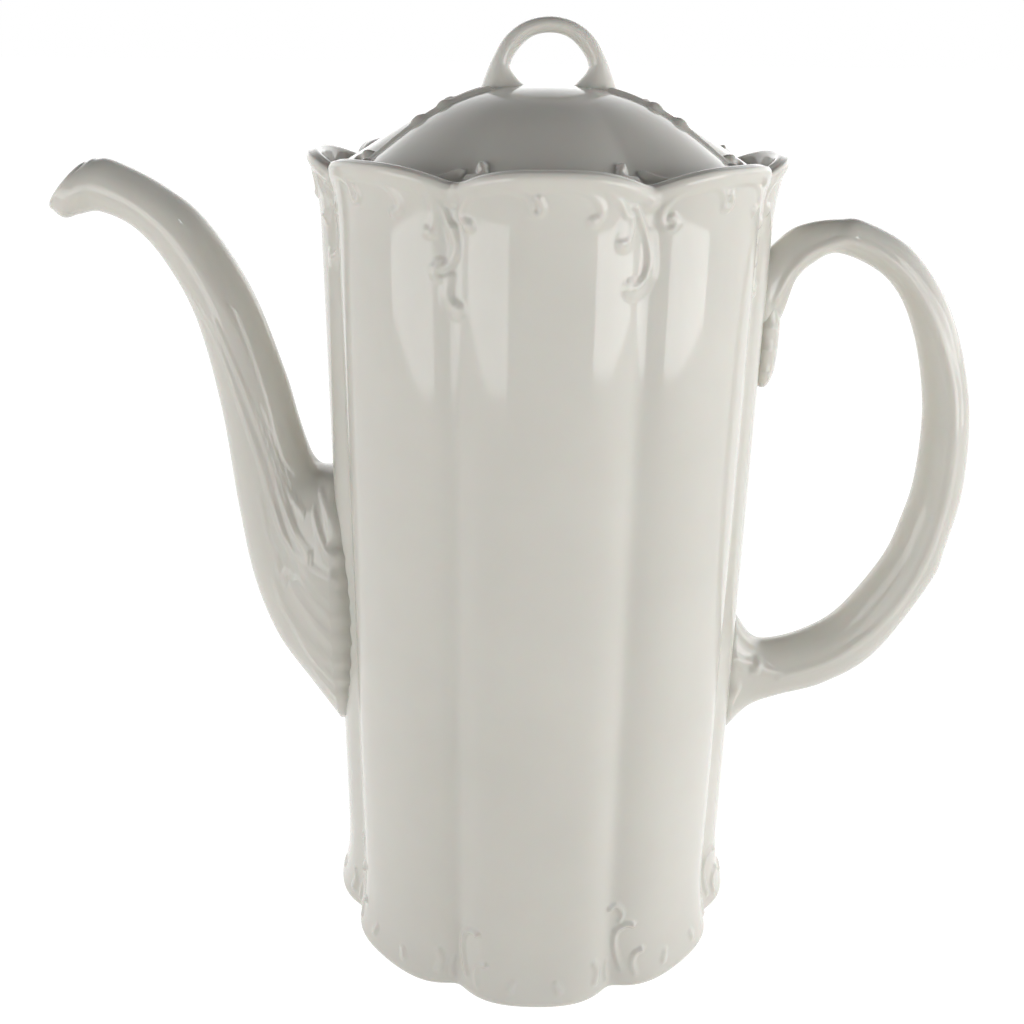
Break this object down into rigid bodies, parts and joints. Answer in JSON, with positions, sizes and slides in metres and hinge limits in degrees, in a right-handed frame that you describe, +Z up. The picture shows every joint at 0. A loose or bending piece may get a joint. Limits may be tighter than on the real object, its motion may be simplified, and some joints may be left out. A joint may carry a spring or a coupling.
{
  "type": "coffee pot",
  "caption": "Tall lobed white porcelain coffee pot with a swan-neck spout, an ear handle and a lift-off domed lid with a loop knob.",
  "frame": {"origin": "on the pot's axis, at the plane its standing ring rests on", "axes": "+Z up along the pot's axis, -X the way the spout points, +X the way the handle points, -Y the side in full view"},
  "size_m": [0.2267, 0.1114, 0.2344],
  "materials": {
    "glazed_porcelain": "clear glossy glaze over white porcelain",
    "glazed_relief": "the same glaze over moulded relief",
    "biscuit_porcelain": "unglazed, ground smooth"
  },
  "bodies": {
    "pot": {"body": "glazed_porcelain", "standing_ring": "biscuit_porcelain", "lid_seat": "glazed_porcelain", "spout": "glazed_porcelain", "spout_leaves": "glazed_relief", "handle": "glazed_porcelain", "handle_lappet": "glazed_relief", "rim_scrolls": "glazed_relief", "wall_sprigs": "glazed_relief", "foot_scrolls": "glazed_relief"},
    "lid": {"lid": "glazed_porcelain", "lid_collar": "glazed_porcelain", "lid_knob": "glazed_porcelain", "lid_relief": "glazed_relief"}
  },
  "joints": [
    {"name": "lid_lift", "type": "slide", "parent": "pot", "child": "lid", "axis": [0, 0, 1], "range_m": [0, 0.06]}
  ]
}
